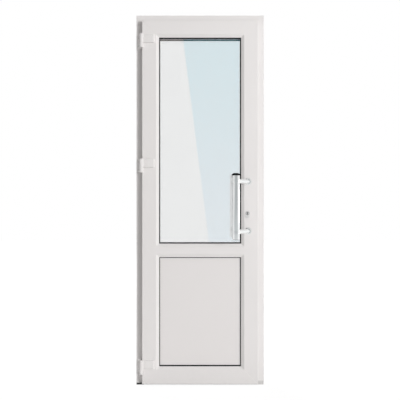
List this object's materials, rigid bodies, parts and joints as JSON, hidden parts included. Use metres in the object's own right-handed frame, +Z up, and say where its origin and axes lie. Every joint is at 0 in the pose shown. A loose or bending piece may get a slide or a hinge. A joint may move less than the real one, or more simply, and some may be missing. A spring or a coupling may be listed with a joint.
{
  "type": "glazed upvc door",
  "caption": "White plastic entrance door in its frame, glazed above a flat panel, with pull handle, flag hinges and low threshold.",
  "frame": {"origin": "middle of the threshold's underside, at the middle of the frame's depth", "axes": "+Z up, +X towards the lock jamb as seen from outside, +Y from outside to inside"},
  "size_m": [0.7, 0.264, 2.03],
  "materials": {
    "upvc": "smooth white uPVC with a soft sheen",
    "panel": "smooth white infill panel",
    "glass": "clear float glass",
    "spacer": "matt aluminium spacer",
    "seal": "black rubber",
    "threshold_metal": "mill finish aluminium",
    "joiner_plastic": "pale grey moulded plastic",
    "packer_black": "black moulded plastic",
    "hinge_white": "white powder coat",
    "lock_steel": "zinc plated steel",
    "cylinder_metal": "satin nickel",
    "handle_metal": "satin stainless steel",
    "cap_black": "black moulded plastic",
    "roller_plastic": "pale nylon"
  },
  "bodies": {
    "frame": {"frame_head": "upvc", "frame_hinge_jamb": "upvc", "frame_lock_jamb": "upvc", "threshold": "threshold_metal", "threshold_joiner_hinge_side": "joiner_plastic", "threshold_joiner_lock_side": "joiner_plastic", "hinge_side_packer": "packer_black", "frame_seal": "seal", "lock_keep": "lock_steel", "hinge_frame_parts": "hinge_white"},
    "leaf": {"leaf_hinge_stile": "upvc", "leaf_lock_stile": "upvc", "leaf_top_rail": "upvc", "leaf_mid_rail": "upvc", "leaf_bottom_rail": "upvc", "leaf_seal": "seal", "glass_outer_pane": "glass", "glass_inner_pane": "glass", "glass_spacer": "spacer", "lower_panel": "panel", "lock_cylinder": "cylinder_metal", "cylinder_rings": "cylinder_metal", "lock_faceplate": "lock_steel", "lock_case": "lock_steel", "deadbolt": "lock_steel", "latch_roller": "roller_plastic", "glass_seal_outer": "seal", "glass_seal_inner": "seal", "glass_beads": "upvc", "panel_seal_outer": "seal", "panel_seal_inner": "seal", "panel_beads": "upvc", "hinge_leaf_parts": "hinge_white", "pull_bars": "handle_metal", "pull_brackets": "handle_metal", "pull_end_caps": "cap_black"},
    "key_plug": {"key_plug": "cylinder_metal"}
  },
  "joints": [
    {"name": "leaf_hinge", "type": "hinge", "parent": "frame", "child": "leaf", "pos_m": [-0.3185, -0.0665, 1], "axis": [0, 0, -1], "range_deg": [0, 110]},
    {"name": "key_turn", "type": "hinge", "parent": "leaf", "child": "key_plug", "pos_m": [0.259, -0.045, 0.943], "axis": [0, 1, 0], "continuous": true}
  ]
}
